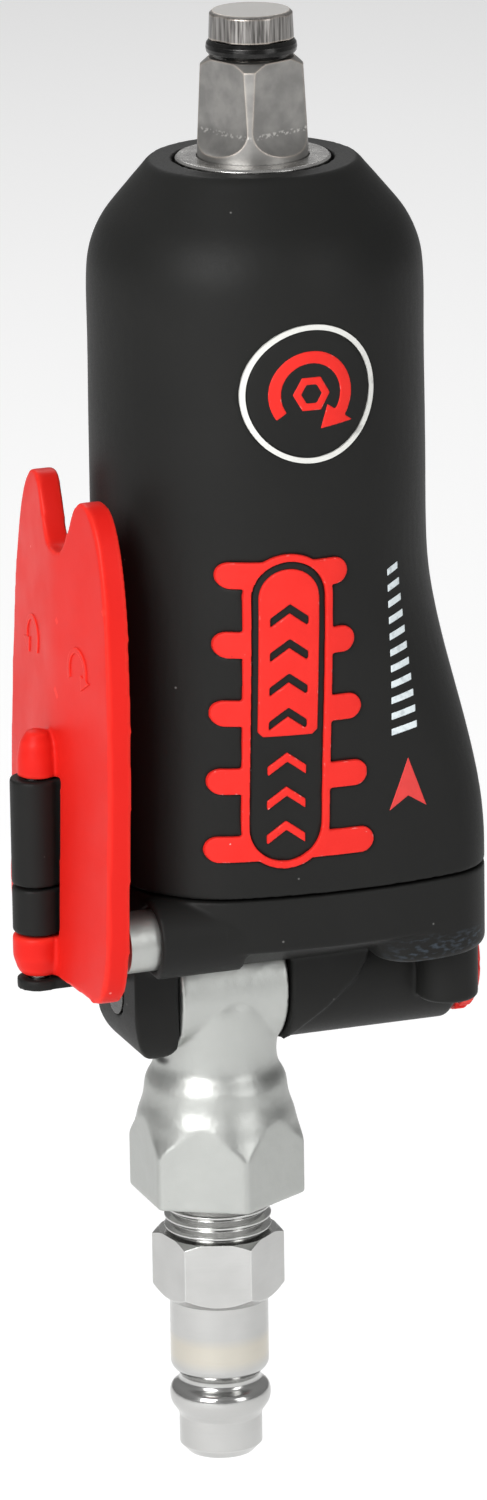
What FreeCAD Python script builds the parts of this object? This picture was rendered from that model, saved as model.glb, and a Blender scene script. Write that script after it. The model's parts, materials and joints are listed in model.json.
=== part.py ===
import FreeCAD, Part
import math
import os

# Compact 3/8 inch pneumatic impact wrench, millimetres.
# +Z is the drive axis, pointing out of the square. The origin is on that axis, in the
# face of the steel collar that the square stands on. -X is the throttle paddle's side.

Vec = FreeCAD.Vector
X_AXIS = Vec(1, 0, 0)
Y_AXIS = Vec(0, 1, 0)
Z_AXIS = Vec(0, 0, 1)
ORIGIN = Vec(0, 0, 0)
DEG = math.pi / 180

# --- driving dimensions -------------------------------------------------------------
SQUARE = 9.53            # 3/8 inch drive across flats
TIP_Z = 17.35            # end of the square drive
COLLAR_R = 9.25          # steel nose that shows in the housing's mouth
GRIP_R = 20.1            # radius of the round grip
SEAM_Z = -86.7           # parting line between motor housing and end cap
SEAM_GAP = 0.15          # half of the groove along the parting line
CAP_FRONT_Z = -93.3      # lower edge of the end cap's upright sides
CAP_FLOOR_Z = -97.4      # underside of the end cap
BORE_R = 15.2            # straight bore that holds the whole motor stack
STACK_R = 15.15          # outer radius of the parts that slide into the bore
BARREL_Z = -101.5        # axis of the cross barrel, along X
BARREL_R = 8.0
SWIVEL_X0, SWIVEL_X1 = -13.5, 0.4    # ends of the slot that the swivel ring turns in
NOZZLE_X = (SWIVEL_X0 + SWIVEL_X1) / 2
HINGE_X = -28.9          # paddle hinge axis, vertical, in the plane Y = 0
PLUNGER_Y = 11.6
PLUNGER_Z = -91.7
PLUNGER_R = 3.7
NIPPLE_END_Z = -162.0
HEX_END_Z = -128.4       # lower face of the swivel's hexagon

CASE_TOP, CASE_END = 0.0, -41.0          # hammer case
FRONT_PLATE_END = -49.0
CYLINDER_END = -75.0
REAR_PLATE_END = -83.0
GASKET_T = 0.4
ROTOR_R = 9.6
CHAMBER_R = 11.2
CHAMBER_SHIFT = 1.1      # the chamber lies off the rotor's axis, towards +Y
SHAFT_R = 3.0            # rotor shaft, 6 mm bearings
BEARING_R = 9.5
BEARING_W = 6.0
HAMMER_PIN_AT = 10.6
HAMMER_PIN_R = 1.5
SWING_DEG = 4.0          # rock of a hammer about its pin, each way
FIT = 0.05               # radial running clearance
PRESS = 0.03             # radial gap of two pieces held fast in each other

INLAY_H = 0.35           # how far the red ribs and the badge stand proud
INLAY_D = 0.5            # how deep they are set in


# --- plain solids -------------------------------------------------------------------
def cyl(r, z0, z1, x=0.0, y=0.0):
    """Upright cylinder between two heights."""
    low, high = min(z0, z1), max(z0, z1)
    return Part.makeCylinder(r, high - low, Vec(x, y, low), Z_AXIS)


def cyl_x(r, x0, x1, y=0.0, z=0.0):
    """Cylinder lying along X."""
    return Part.makeCylinder(r, x1 - x0, Vec(x0, y, z), X_AXIS)


def box(x0, x1, y0, y1, z0, z1):
    """Block between two corners; its two heights may come in either order."""
    low, high = min(z0, z1), max(z0, z1)
    return Part.makeBox(x1 - x0, y1 - y0, high - low, Vec(x0, y0, low))


def tube(outer, inner, z0, z1, x=0.0, y=0.0):
    return cyl(outer, z0, z1, x, y).cut(cyl(inner, z0, z1, x, y))


def turned(profile, x=0.0, y=0.0):
    """Solid of revolution about an upright axis from (radius, height) points."""
    points = [Vec(r, 0, z) for r, z in profile]
    face = Part.Face(Part.makePolygon(points + points[:1]))
    solid = face.revolve(ORIGIN, Z_AXIS, 360)
    solid.translate(Vec(x, y, 0))
    return solid


def turned_x(profile, y=0.0, z=0.0):
    """Solid of revolution about an axis along X from (x, radius) points."""
    points = [Vec(x, 0, r) for x, r in profile]
    face = Part.Face(Part.makePolygon(points + points[:1]))
    solid = face.revolve(ORIGIN, X_AXIS, 360)
    solid.translate(Vec(0, y, z))
    return solid


def spun(shape, angle, axis=Z_AXIS, about=ORIGIN):
    copy = shape.copy()
    copy.rotate(about, axis, angle)
    return copy


def moved(shape, x=0.0, y=0.0, z=0.0):
    copy = shape.copy()
    copy.translate(Vec(x, y, z))
    return copy


def hexagon(flats, z0, z1, x=0.0, y=0.0, turn=0.0):
    """Upright hexagonal prism with flats facing +X and -X before it is turned."""
    corner_r = flats / math.sqrt(3)
    corners = [Vec(x + corner_r * math.cos((30 + 60 * i + turn) * DEG),
                   y + corner_r * math.sin((30 + 60 * i + turn) * DEG), z0) for i in range(6)]
    face = Part.Face(Part.makePolygon(corners + corners[:1]))
    return face.extrude(Vec(0, 0, z1 - z0))


def torus(major, minor, z):
    return Part.makeTorus(major, minor, Vec(0, 0, z), Z_AXIS)


def torus_x(major, minor, x, y, z):
    return Part.makeTorus(major, minor, Vec(x, y, z), X_AXIS)


def fuse(parts):
    whole = parts[0]
    for part in parts[1:]:
        whole = whole.fuse(part)
    return whole.removeSplitter()


def cut(shape, tools):
    for tool in tools:
        shape = shape.cut(tool)
    return shape


def group(solids):
    return Part.makeCompound(solids)


def save(name, shape):
    """Write one node, with a line that says how sound it is."""
    shape.exportStep("parts/" + name + ".step")
    bounds = shape.BoundBox
    print("%-24s valid %s solids %d volume %9.1f  z %7.2f %7.2f" % (
        name, shape.isValid(), len(shape.Solids), shape.Volume, bounds.ZMin, bounds.ZMax))


# --- outer form ---------------------------------------------------------------------
NOSE_R, NOSE_Z = 12.8, -0.7      # where the cone starts
CONE_R, CONE_Z = 16.8, -5.5      # where the cone meets the shoulder arc
SHOULDER_R = 12.9                # radius of the shoulder arc
SHOULDER_END_R, SHOULDER_END_Z = 20.0, -14.0
ROUND_END_Z = -46.0              # the grip is round above, flattens below
FLAT_START_Z = -84.0


def grip_blend(z):
    """0 where the grip is round, 1 where it has the end cap's squarish section."""
    t = min(max((ROUND_END_Z - z) / (ROUND_END_Z - FLAT_START_Z), 0.0), 1.0)
    return t * t * (3 - 2 * t)


def round_radius(z):
    """Radius of the round nose and grip at a height."""
    if z > CONE_Z:
        return CONE_R + (z - CONE_Z) * (NOSE_R - CONE_R) / (NOSE_Z - CONE_Z)
    if z > SHOULDER_END_Z:
        return SHOULDER_END_R - SHOULDER_R + math.sqrt(SHOULDER_R ** 2 - (z - SHOULDER_END_Z) ** 2)
    return SHOULDER_END_R + (GRIP_R - SHOULDER_END_R) * min((SHOULDER_END_Z - z) / 30.0, 1.0)


HEEL_LEFT, HEEL_RIGHT = 19.6, 24.9       # reach to -X and +X at the seam
HEEL_HALF = 16.8                         # half depth at the seam
HEEL_LEFT_R, HEEL_RIGHT_R = 14.0, 8.5    # corner radii at the seam
CORNER_POINTS = 6


def section(z, blend, grow=0.0):
    """Closed outline at a height: four corner arcs, joined by a smooth curve."""
    radius = round_radius(z)
    left = radius + (HEEL_LEFT - radius) * blend + grow
    right = radius + (HEEL_RIGHT - radius) * blend + grow
    half = radius + (HEEL_HALF - radius) * blend + grow
    left_r = radius + (HEEL_LEFT_R - radius) * blend + grow
    right_r = radius + (HEEL_RIGHT_R - radius) * blend + grow
    corners = [(right - right_r, half - right_r, right_r), (left_r - left, half - left_r, left_r),
               (left_r - left, left_r - half, left_r), (right - right_r, right_r - half, right_r)]
    points = []
    for quarter, (cx, cy, r) in enumerate(corners):
        for k in range(CORNER_POINTS):
            angle = (quarter + (k + 0.5) / CORNER_POINTS) * math.pi / 2
            points.append(Vec(cx + r * math.cos(angle), cy + r * math.sin(angle), z))
    curve = Part.BSplineCurve()
    curve.interpolate(points, PeriodicFlag=True)
    return Part.Wire(curve.toShape())


def grip_solid(low_z, grow=0.0):
    """Nose, round grip and squarish heel as one smooth solid."""
    heights = [NOSE_Z, -2.3, -3.9, CONE_Z, -7.0, -9.0, -11.3, SHOULDER_END_Z, -20, -29, -38, ROUND_END_Z,
               -50, -54, -58, -62, -66, -70, -74, -79, FLAT_START_Z, low_z]
    rings = [section(z, grip_blend(z), grow) for z in heights]
    return Part.makeLoft(rings, True, False)


def prism(outline_z, depth, grow=0.0):
    """Upright prism with the end cap's outline."""
    face = Part.Face(section(SEAM_Z, 1.0, grow))
    face.translate(Vec(0, 0, outline_z - SEAM_Z))
    return face.extrude(Vec(0, 0, -depth))


# --- paddle hinge boss, shared by housing and end cap -------------------------------
BOSS_R = 3.0
BOSS_TOP_Z = -73.4
BOSS_END_Z = -92.6
WEB_HALF = 2.2
HINGE_PIN_R = 1.25


def boss_piece(z0, z1, root_x):
    """Upright round boss on a web that reaches back into the body."""
    boss = cyl(BOSS_R, z0, z1, HINGE_X, 0)
    web = box(HINGE_X, root_x, -WEB_HALF, WEB_HALF, min(z0, z1), max(z0, z1))
    return boss.fuse(web)


# --- housing ------------------------------------------------------------------------
MOUTH_R = 9.6
LIP_R = 12.35
LIP_Z = -0.3
SCREW_AT = (20.3, 9.0)
SCREW_R = 1.5
HEAD_R = 2.75
THREAD_TOP_Z = -74.0


def rib_outline():
    """Red rib panel seen from the front: a capsule ring with five pairs of fins."""
    middle, half_width = -3.4, 5.3
    top, bottom = -43.7, -82.9
    fin_rows, fin_pitch, fin_half = 5, 8.5, 1.6
    first_fin = -46.2
    ends = []
    for row in range(fin_rows):
        z = first_fin - row * fin_pitch
        left = -11.6 - 0.32 * row
        right = 3.8 + 0.92 * row
        ends.append(slab_capsule(left, right, z, fin_half, along_x=True))
    body = slab_capsule(bottom, top, middle, half_width, along_x=False)
    return fuse([body] + ends)


def slab_capsule(start, end, at, half_width, along_x):
    """Front-to-back slab with a capsule outline, from start to end over its round ends."""
    y0, depth = -30.0, 22.0
    first, last = start + half_width, end - half_width
    if along_x:
        bar = box(first, last, y0, y0 + depth, at - half_width, at + half_width)
        places = [Vec(first, y0, at), Vec(last, y0, at)]
    else:
        bar = box(at - half_width, at + half_width, y0, y0 + depth, first, last)
        places = [Vec(at, y0, first), Vec(at, y0, last)]
    ends = [Part.makeCylinder(half_width, depth, place, Y_AXIS) for place in places]
    return fuse([bar] + ends)


BADGE_AT = Vec(-0.4, -30, -24.6)
BADGE_R = 8.3
BADGE_BAND = 0.62
CAPSULE_INSET = 0.9


def badge_slab():
    outer = Part.makeCylinder(BADGE_R, 22, BADGE_AT, Y_AXIS)
    return outer.cut(Part.makeCylinder(BADGE_R - BADGE_BAND, 22, BADGE_AT, Y_AXIS))


def capsule_slab():
    low, high = -82.9 + CAPSULE_INSET, -43.7 - CAPSULE_INSET
    return slab_capsule(low, high, -3.4, 5.3 - CAPSULE_INSET, along_x=False)


def motor_housing(outer, inlays):
    """Moulded grip with a straight bore, the upper hinge boss and the inlay pockets."""
    body = outer.fuse(boss_piece(BOSS_TOP_Z, SEAM_Z + SEAM_GAP, -18.0))
    lip_root_r, lip_root_z = NOSE_R - 0.06, NOSE_Z - 0.4
    lip = turned([(MOUTH_R, lip_root_z), (lip_root_r, lip_root_z), (lip_root_r, NOSE_Z), (LIP_R, LIP_Z),
                  (MOUTH_R, LIP_Z)])
    body = body.fuse(lip)
    step_z, case_step_z = CASE_STEPS[1][1], CASE_STEPS[3][1]
    tools = [cyl(MOUTH_R, 1, -3.2), cyl(BORE_R, case_step_z, SEAM_Z - 1),
             turned([(0, step_z), (CASE_STEPS[2][0] + FIT, step_z), (BORE_R, case_step_z), (0, case_step_z)]),
             cyl(HINGE_PIN_R + PRESS, BOSS_TOP_Z + 1, SEAM_Z - 1, HINGE_X, 0)]
    for side in (-1, 1):
        tools.append(cyl(SCREW_R, THREAD_TOP_Z, SEAM_Z - 1, SCREW_AT[0], side * SCREW_AT[1]))
    return cut(body, tools + inlays)


# --- hammer case and impact mechanism -----------------------------------------------
CASE_STEPS = [(COLLAR_R, CASE_TOP), (COLLAR_R, -3.0), (11.2, -3.0), (STACK_R, -8.0), (STACK_R, CASE_END)]
CASE_WALL = 1.3
BUSH_R = 8.0
ANVIL_R = 6.6
BUSH_TOP, BUSH_END = -1.0, -11.0
CASE_IN_R = STACK_R - CASE_WALL
CAGE_R = 13.6


def hammer_case():
    """Steel cup whose nose is the bright collar round the drive."""
    chamfer = 0.25
    profile = [(ANVIL_R + 0.12, CASE_TOP), (COLLAR_R - chamfer, CASE_TOP), (COLLAR_R, CASE_TOP - chamfer)]
    profile += CASE_STEPS[1:]
    profile += [(CASE_IN_R, CASE_END), (CASE_IN_R, -12.2), (12.6, BUSH_END), (BUSH_R, BUSH_END),
                (BUSH_R, BUSH_TOP), (ANVIL_R + 0.12, BUSH_TOP)]
    return turned(profile)


def anvil_bushing():
    return tube(BUSH_R, ANVIL_R + FIT, BUSH_END, BUSH_TOP)


RING_Z0, RING_Z1 = 12.1, 14.0
SQUARE_TURN = 22.5       # the square stands turned, one flat facing forward and to the right
FLAT_END_Z = 3.9         # where the flats begin to run out
RUN_OUT_R = 3.7          # cutter radius of the run-out


def drive_blank():
    """Turned blank of the square end, before its flats are milled."""
    tip_r, groove_r, corner_r = 4.93, 3.9, 6.1
    return turned([(0, -0.3), (ANVIL_R, -0.3), (ANVIL_R, 0.8), (corner_r, 10.9), (5.1, 11.8),
                   (groove_r, 11.8), (groove_r, 14.1), (tip_r + 0.12, 14.1), (tip_r, TIP_Z - 0.35),
                   (tip_r - 0.35, TIP_Z), (0, TIP_Z)])


def flat_cutter():
    """Cutter path that leaves one flat of the square and its round run-out."""
    half, reach = SQUARE / 2, 14.0
    slab = box(half, half + 10, -reach / 2, reach / 2, FLAT_END_Z, TIP_Z + 1)
    lane = Part.makeCylinder(RUN_OUT_R, reach, Vec(half + RUN_OUT_R, -reach / 2, FLAT_END_Z), Y_AXIS)
    return slab.fuse(lane)


JAW_CORE_R = 4.3
JAW_R = 5.8
PILOT_R = 2.9
FLANGE_R = 7.4


def jaws(z0, z1):
    """Two striking jaws, facing +Y and -Y."""
    ring = tube(JAW_R, JAW_CORE_R - 0.5, z0, z1)
    half_width = 2.0
    return ring.common(box(-half_width, half_width, -10, 10, z0, z1))


def anvil():
    """Square drive, bearing journal, thrust flange and jaws in one forging."""
    head = drive_blank()
    for quarter in range(4):
        head = head.cut(spun(flat_cutter(), 90 * quarter))
    head = spun(head, SQUARE_TURN)
    journal = cyl(ANVIL_R, -0.3, -11.4)
    flange = cyl(FLANGE_R, -11.4, -13.4)
    core = cyl(JAW_CORE_R, -13.4, -33.6)
    pilot = cyl(PILOT_R, -33.6, -36.0)
    return fuse([head, journal, flange, core, pilot, jaws(-16.8, -24.6), jaws(-25.4, -33.2)])


def friction_ring():
    """Split ring that holds a socket, in the groove of the square."""
    ring = turned([(4.35, RING_Z0), (5.0, RING_Z0), (5.35, RING_Z0 + 0.45), (5.42, 13.0),
                   (5.35, RING_Z1 - 0.5), (5.0, RING_Z1), (4.35, RING_Z1)])
    return ring.cut(box(0, 8, -0.35, 0.35, RING_Z0 - 1, RING_Z1 + 1))


def friction_o_ring():
    """Rubber ring behind the split ring, which pushes it out."""
    return tube(4.33, 3.92, 12.4, 13.8)


CAGE_TOP, CAGE_DECK = -14.0, -16.0
CAGE_FLOOR, CAGE_BASE = -34.0, -37.0
HUB_R, HUB_END = 5.6, -40.4
SPLINE_R = 2.8


def hammer_cage():
    """Drum with two windows, in which the hammers rock on their pins."""
    plates = [tube(CAGE_R, 7.7, CAGE_DECK, CAGE_TOP), cyl(CAGE_R, CAGE_BASE, CAGE_FLOOR)]
    strut_ring = tube(CAGE_R, 12.4, CAGE_FLOOR, CAGE_DECK)
    struts = strut_ring.common(box(-6.5, 6.5, -20, 20, CAGE_FLOOR, CAGE_DECK))
    hub = cyl(HUB_R, CAGE_BASE, HUB_END)
    cage = fuse(plates + [struts, hub])
    tools = [cyl(PILOT_R + FIT, CAGE_FLOOR, -36.3), hexagon(2 * SPLINE_R, HUB_END, -37.2)]
    tools += [cyl(HAMMER_PIN_R, CAGE_TOP, CAGE_BASE, side * HAMMER_PIN_AT, 0) for side in (-1, 1)]
    return cut(cage, tools)


def hammer_pins():
    """One pin for each hammer to rock on, which is also the other hammer's stop."""
    return group([cyl(HAMMER_PIN_R, CAGE_TOP, CAGE_BASE, side * HAMMER_PIN_AT, 0) for side in (-1, 1)])


def hammer(z0, z1, pin_side):
    """Ring hammer hung on one pin, with a wide notch round the other."""
    bore_r, rim_r, eye_r, lobe_r = 6.8, 10.7, 2.8, 5.3
    notch_r = HAMMER_PIN_R + 2 * HAMMER_PIN_AT * math.sin(SWING_DEG * DEG) + 0.25
    ring = tube(rim_r, bore_r, z0, z1)
    eye = cyl(eye_r, z0, z1, HAMMER_PIN_AT, 0)
    lobe = tube(bore_r + 1, lobe_r, z0, z1).common(box(-9, 0, -2.4, 2.4, z0, z1))
    whole = fuse([ring, eye.cut(cyl(bore_r, z0, z1)), lobe])
    tools = [cyl(HAMMER_PIN_R + FIT, z0, z1, HAMMER_PIN_AT, 0), cyl(notch_r, z0, z1, -HAMMER_PIN_AT, 0)]
    whole = cut(whole, tools)
    return whole if pin_side > 0 else spun(whole, 180)


# --- air motor ----------------------------------------------------------------------
BALLS = 7
BALL_R = 1.75
PITCH_R = (SHAFT_R + BEARING_R) / 2
GROOVE_R = BALL_R + 0.04
PLATE_WEB = 1.8
PORT_X, PORT_Y = -7.2, 9.8               # air ports from the valve bores
DOWEL_R, DOWEL_Y = 0.8, -13.6


def front_plate():
    """End plate with the pocket of the front bearing."""
    plate = cyl(STACK_R, CASE_END, FRONT_PLATE_END)
    pocket_end = CASE_END - BEARING_W - 0.2
    return cut(plate, [cyl(BEARING_R, CASE_END, pocket_end), cyl(4.2, pocket_end, FRONT_PLATE_END)])


def rear_plate():
    """End plate with the pocket of the rear bearing and the air port from below."""
    plate = cyl(STACK_R, CYLINDER_END, REAR_PLATE_END)
    pocket_top = CYLINDER_END - PLATE_WEB
    tools = [cyl(BEARING_R, pocket_top, REAR_PLATE_END), cyl(4.2, CYLINDER_END, pocket_top)]
    tools += [cyl(1.4, CYLINDER_END, REAR_PLATE_END, PORT_X, side * PORT_Y) for side in (-1, 1)]
    tools.append(cyl(DOWEL_R, CYLINDER_END, REAR_PLATE_END, 0, DOWEL_Y))
    return cut(plate, tools)


def cylinder():
    """Motor cylinder: an eccentric chamber, air galleries and exhaust slots."""
    body = cyl(STACK_R, FRONT_PLATE_END, CYLINDER_END)
    tools = [cyl(CHAMBER_R, FRONT_PLATE_END, CYLINDER_END, 0, CHAMBER_SHIFT)]
    tools.append(cyl(DOWEL_R, FRONT_PLATE_END, CYLINDER_END, 0, DOWEL_Y))
    for side in (-1, 1):
        tools.append(cyl(0.9, -53, CYLINDER_END, side * 9.6, -9.6))
    slots, slot_pitch = 5, 4.2
    for k in range(slots):
        z = -53.6 - k * slot_pitch
        tools.append(box(-1.6, 1.6, 8, 16, z - 1.1, z + 1.1))
    return cut(body, tools)


def cylinder_dowel():
    return cyl(DOWEL_R, FRONT_PLATE_END - 1, REAR_PLATE_END + 1, 0, DOWEL_Y)


VANES = 6
VANE_T = 1.5
SLOT_FLOOR_R = 4.6


def vane_blank(inner, outer, thick, z0, z1):
    return box(inner, outer, -thick / 2, thick / 2, z0, z1)


def rotor():
    """Slotted rotor with its shafts, and the hexagon that drives the hammer cage."""
    z0, z1 = CYLINDER_END + 0.15, FRONT_PLATE_END - 0.15
    drum = cyl(ROTOR_R, z0, z1)
    slot = vane_blank(SLOT_FLOOR_R, ROTOR_R + 1, VANE_T + 2 * FIT, z0, z1)
    drum = cut(drum, [spun(slot, 60 * k) for k in range(VANES)])
    front_shaft = cyl(SHAFT_R, z1, CASE_END)
    drive = hexagon(2 * SPLINE_R - 2 * FIT, CASE_END, -37.4)
    rear_shaft = cyl(SHAFT_R, z0, REAR_PLATE_END + 0.3)
    collars = [cyl(4.0, z1, FRONT_PLATE_END + 0.8), cyl(4.0, z0, CYLINDER_END - 0.8)]
    return fuse([drum, front_shaft, drive, rear_shaft] + collars)


def rotor_vanes():
    """Six blades, drawn in."""
    blade = vane_blank(SLOT_FLOOR_R + 0.1, ROTOR_R, VANE_T, CYLINDER_END + 0.15, FRONT_PLATE_END - 0.15)
    return group([spun(blade, 60 * k) for k in range(VANES)])


def bearing_inner(top):
    race = tube(4.9, SHAFT_R + PRESS, top - BEARING_W, top)
    return race.cut(torus(PITCH_R, GROOVE_R, top - BEARING_W / 2))


def bearing_outer(top):
    race = tube(BEARING_R, 7.6, top - BEARING_W, top)
    return race.cut(torus(PITCH_R, GROOVE_R, top - BEARING_W / 2))


def bearing_balls(top):
    z = top - BEARING_W / 2
    balls = []
    for k in range(BALLS):
        angle = 2 * math.pi * k / BALLS
        balls.append(Part.makeSphere(BALL_R, Vec(PITCH_R * math.cos(angle), PITCH_R * math.sin(angle), z)))
    return group(balls)


def bearing_retainer(top):
    """Thin ring that keeps the balls apart."""
    z = top - BEARING_W / 2
    ring = tube(PITCH_R + 0.5, PITCH_R - 0.5, z - 2.2, z + 2.2)
    pocket = cyl_x(GROOVE_R, PITCH_R - 2, PITCH_R + 2, 0, z)
    return cut(ring, [spun(pocket, 360 * k / BALLS) for k in range(BALLS)])


def motor_gasket():
    gasket = tube(STACK_R - 0.1, 11.6, REAR_PLATE_END - GASKET_T, REAR_PLATE_END)
    ports = [cyl(1.5, REAR_PLATE_END - 1, REAR_PLATE_END, PORT_X, side * PORT_Y) for side in (-1, 1)]
    return cut(gasket, ports)


# --- end cap ------------------------------------------------------------------------
BULGE_END_Z = -97.1
LUG_X0, LUG_X1 = -19.2, SWIVEL_X0 - 0.1
LUG_HALF = 7.4
LUG_END_Z = BARREL_Z - BARREL_R
BARREL_X0, BARREL_X1 = SWIVEL_X1 + 0.15, 22.0
KNOB_X0, KNOB_X1 = 23.6, 25.5
KNOB_R = 7.4
PLUNGER_BORE_X = -4.0
CHEST_R = 5.0            # air chest in the barrel
SPINDLE_R = 5.0
SPINDLE_END_R = 2.75
SPINDLE_X1 = 7.0
SPRING_HOLE_R = 3.0
STEM_R = 2.6             # stem of the regulator knob
SCREW_HEAD_Z = -101.0
EXHAUST_Y = 11.6         # row of exhaust holes in the cap's underside
SILENCER = (-0.4, 10.4, 10.0, 13.2)      # its sides along X and Y
SILENCER_Z0, SILENCER_Z1 = -90.8, -88.9


def rounded_outline(x0, x1, half, corner, z):
    """Rectangle with round corners, lying level at a height."""
    leaf = 0.01
    block = box(x0, x1, -half, half, z, z + leaf)
    upright = [edge for edge in block.Edges if abs(edge.Vertexes[0].Z - edge.Vertexes[-1].Z) > leaf / 2]
    rounded = block.makeFillet(corner, upright)
    return [face for face in rounded.Faces if abs(face.CenterOfMass.z - z) < leaf / 10][0].OuterWire


def underside():
    """Sides that run in under the cap to its narrow floor."""
    top = section(SEAM_Z, 1.0)
    top.translate(Vec(0, 0, CAP_FRONT_Z - SEAM_Z))
    floor_half, floor_x0, floor_x1, corner = 8.3, -19.3, 13.0, 4.0
    bottom = rounded_outline(floor_x0, floor_x1, floor_half, corner, CAP_FLOOR_Z)
    return Part.makeLoft([top, bottom], True, True)


def bulge():
    """Deeper heel of the cap on the +X side, over the barrel's end."""
    block = prism(CAP_FRONT_Z + 1, CAP_FRONT_Z + 1 - BULGE_END_Z)
    top_x0, low_x0, far_x, half, corner = 6.8, 10.2, 40.0, 17.0, 4.6
    reach = Part.makeLoft([rounded_outline(top_x0, far_x, half, corner, CAP_FRONT_Z + 2),
                           rounded_outline(low_x0, far_x, half, corner, BULGE_END_Z - 1)], True, True)
    block = block.common(reach)
    low = [edge for edge in block.Edges if max(v.Z for v in edge.Vertexes) < BULGE_END_Z + 0.01]
    return block.makeFillet(1.1, low)


LUG_FILLET = 4.6
LUG_SHOULDER_Z = BARREL_Z - 3.0


def lug_front():
    """Front-to-back slab whose lower end is rounded off, more so on the -X side."""
    y0, depth = -10.0, 20.0
    low = [Vec(LUG_X0, y0, BARREL_Z - 1.6), Vec(LUG_X0 + 0.25, y0, BARREL_Z - 3.9),
           Vec(LUG_X0 + 0.95, y0, BARREL_Z - 6.0), Vec(LUG_X0 + 2.2, y0, BARREL_Z - 7.4),
           Vec(LUG_X1 - 2.0, y0, LUG_END_Z + 0.2), Vec(LUG_X1 - 0.8, y0, BARREL_Z - 7.4),
           Vec(LUG_X1, y0, BARREL_Z - 6.2)]
    curve = Part.BSplineCurve()
    curve.interpolate(low)
    corners = [low[-1], Vec(LUG_X1, y0, CAP_FRONT_Z - 1), Vec(LUG_X0, y0, CAP_FRONT_Z - 1), low[0]]
    sides = [Part.makeLine(a, b) for a, b in zip(corners, corners[1:])]
    return Part.Face(Part.Wire([curve.toShape()] + sides)).extrude(Vec(0, depth, 0))


def lug():
    """Plate that carries the swivel spindle's outer end, rounded below."""
    plate = box(LUG_X0, LUG_X1, -LUG_HALF, LUG_HALF, LUG_SHOULDER_Z, CAP_FRONT_Z - 1)
    lower = box(LUG_X0, LUG_X1, -LUG_HALF, LUG_HALF, LUG_END_Z, LUG_SHOULDER_Z)
    edges = [e for e in lower.Edges if abs(e.Vertexes[0].Z - LUG_END_Z) < 1e-6 and
             abs(e.Vertexes[-1].Z - LUG_END_Z) < 1e-6 and abs(e.Vertexes[0].Y - e.Vertexes[-1].Y) < 1e-6]
    lower = lower.makeFillet(LUG_FILLET, edges)
    return plate.fuse(lower).common(lug_front())


SADDLE_R = 8.6


def saddle():
    """Raised fairing beside the swivel's slot: upright sides above the barrel's axis, round below it."""
    z = BARREL_Z
    end_x = 11.0
    skin = cyl_x(SADDLE_R, BARREL_X0, end_x, 0, z).fuse(box(BARREL_X0, end_x, -SADDLE_R, SADDLE_R, z, z + 8))
    wedge = Part.makePolygon([Vec(BARREL_X0, -12, z + 8), Vec(end_x, -12, z + 8), Vec(10.2, -12, z + 3.0),
                              Vec(8.9, -12, z + 0.9), Vec(2.6, -12, z - 5.0), Vec(BARREL_X0, -12, z - 7.6),
                              Vec(BARREL_X0, -12, z + 8)])
    return skin.common(Part.Face(wedge).extrude(Vec(0, 24, 0)))


def barrel():
    chamfer = 1.3
    profile = [(BARREL_X0, 0), (BARREL_X0, BARREL_R), (BARREL_X1, BARREL_R),
               (BARREL_X1 + chamfer, BARREL_R - chamfer), (BARREL_X1 + chamfer, 0)]
    return turned_x(profile, 0, BARREL_Z)


BOSS_FACE_X = -18.7      # face of the two valve bosses, which the plungers come out of
VALVE_BOSS_R = 4.9
VALVE_BOSS_LOW_Z = -96.1


def valve_boss(side):
    """Boss round a plunger's bore, flat below."""
    boss = cyl_x(VALVE_BOSS_R, BOSS_FACE_X, -8.0, side * PLUNGER_Y, PLUNGER_Z)
    return boss.common(box(-30, 0, -20, 20, VALVE_BOSS_LOW_Z, PLUNGER_Z + VALVE_BOSS_R + 1))


def screw_boss(side):
    profile = [(0, BULGE_END_Z + 2), (3.8, BULGE_END_Z + 2), (3.75, -103.9), (3.35, -104.3), (0, -104.3)]
    return turned(profile, SCREW_AT[0], side * SCREW_AT[1])


def spigot():
    """Ring that reaches up into the bore and clamps the motor stack."""
    ring = tube(STACK_R - 0.05, 12.0, SEAM_Z - 1, REAR_PLATE_END - GASKET_T)
    return cut(ring, [cyl(1.5, SEAM_Z - 2, REAR_PLATE_END, PORT_X, side * PORT_Y) for side in (-1, 1)])


FOOT_Z0, FOOT_Z1 = -98.3, -99.6


def hinge_foot():
    """Arm under the paddle that carries the lower end of the hinge pin."""
    disc = cyl(2.6, FOOT_Z0, FOOT_Z1, HINGE_X, 0)
    arm = box(HINGE_X, LUG_X0 + 2, -WEB_HALF, WEB_HALF, FOOT_Z1, FOOT_Z0)
    return disc.fuse(arm)


def silencer_block(grow, top_z):
    """The silencer itself, or the pocket that it is dropped into."""
    x0, x1, y0, y1 = SILENCER
    return box(x0 - grow, x1 + grow, y0 - grow, y1 + grow, SILENCER_Z0 - grow, top_z)


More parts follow.
